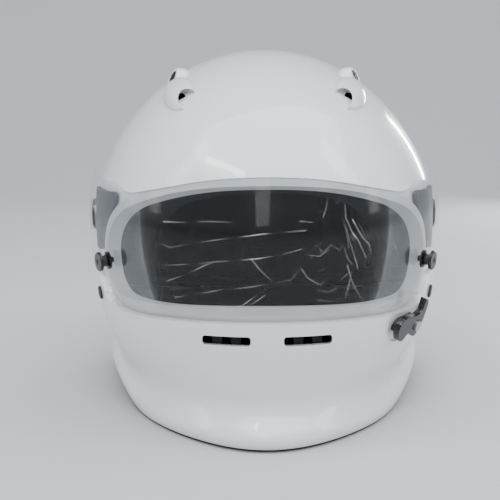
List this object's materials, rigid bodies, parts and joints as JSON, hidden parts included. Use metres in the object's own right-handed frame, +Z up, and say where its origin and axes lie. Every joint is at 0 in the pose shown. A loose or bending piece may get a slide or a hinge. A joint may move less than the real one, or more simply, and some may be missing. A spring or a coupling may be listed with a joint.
{
  "type": "auto racing helmet",
  "caption": "Full-face racing helmet with a pivoting clear shield, tear-off posts, side lock, chin and brow vents, foam liner, pads and a D-ring chin strap.",
  "frame": {"origin": "middle of the helmet's bottom, on the table plane it stands on", "axes": "+X to the wearer's left, -Y ahead through the eyeport, +Z up"},
  "size_m": [0.2516, 0.342, 0.2484],
  "materials": {
    "shell_white": "gloss",
    "seal_grey": "matte",
    "rubber_black": "matte",
    "clear_visor": "clear gloss",
    "plastic_black": "satin",
    "steel": "brushed",
    "webbing": "woven",
    "foam_black": "matte",
    "liner_fabric": "matte"
  },
  "bodies": {
    "helmet": {"anchor_insert_left": "steel", "anchor_insert_right": "steel", "bottom_edge_trim": "rubber_black", "cheek_pad_left": "liner_fabric", "cheek_pad_right": "liner_fabric", "cheek_pad_snaps": "plastic_black", "chin_bar_eps": "foam_black", "chin_vent_grille": "plastic_black", "crown_eps": "foam_black", "crown_pad": "liner_fabric", "eyeport_seal": "seal_grey", "neck_roll": "liner_fabric", "outer_shell": "shell_white", "pivot_bush_left": "steel", "pivot_bush_right": "steel", "pivot_screw_left": "plastic_black", "pivot_screw_right": "plastic_black", "rear_vent_left": "plastic_black", "rear_vent_right": "plastic_black", "strap_anchors": "steel", "strap_left": "webbing", "strap_right": "webbing", "visor_lock_base": "plastic_black", "visor_lock_pin": "steel", "visor_lock_spring": "steel", "visor_stop_buttons": "rubber_black"},
    "visor": {"visor": "clear_visor", "visor_arm_left": "plastic_black", "visor_arm_right": "plastic_black", "tear_off_post_left": "plastic_black", "tear_off_post_right": "plastic_black", "tear_off_post_screws": "steel"},
    "lock_lever": {"visor_lock_lever": "plastic_black"},
    "brow_knob_left": {"brow_vent_knob_left": "plastic_black"},
    "brow_knob_right": {"brow_vent_knob_right": "plastic_black"},
    "chin_shutter": {"chin_vent_shutter": "plastic_black"},
    "ring_upper": {"d_ring_upper": "steel"},
    "ring_lower": {"d_ring_lower": "steel"}
  },
  "joints": [
    {"name": "visor_hinge", "type": "hinge", "parent": "helmet", "child": "visor", "pos_m": [0, -0.006, 0.1295], "axis": [-1, 0, 0], "range_deg": [0, 55]},
    {"name": "lock_hinge", "type": "hinge", "parent": "helmet", "child": "lock_lever", "pos_m": [0.09349, -0.11292, 0.07028], "axis": [-0.7807, 0.5515, 0.2939], "range_deg": [0, 35]},
    {"name": "brow_knob_left_turn", "type": "hinge", "parent": "helmet", "child": "brow_knob_left", "pos_m": [0.06336, -0.04543, 0.22886], "axis": [0.8294, -0.3797, 0.4097], "range_deg": [0, 90]},
    {"name": "brow_knob_right_turn", "type": "hinge", "parent": "helmet", "child": "brow_knob_right", "pos_m": [-0.06336, -0.04543, 0.22886], "axis": [-0.8294, -0.3797, 0.4097], "range_deg": [0, 90]},
    {"name": "chin_shutter_turn", "type": "hinge", "parent": "helmet", "child": "chin_shutter", "pos_m": [0, -0.056, 0.071], "axis": [0, 0, 1], "range_deg": [0, 3.2]},
    {"name": "d_ring_upper_swing", "type": "hinge", "parent": "helmet", "child": "ring_upper", "pos_m": [0.04, 0.006, 0.0142], "axis": [0, 1, 0], "range_deg": [0, 70]},
    {"name": "d_ring_lower_swing", "type": "hinge", "parent": "helmet", "child": "ring_lower", "pos_m": [0.04, 0.006, 0.0098], "axis": [0, -1, 0], "range_deg": [0, 20]}
  ]
}
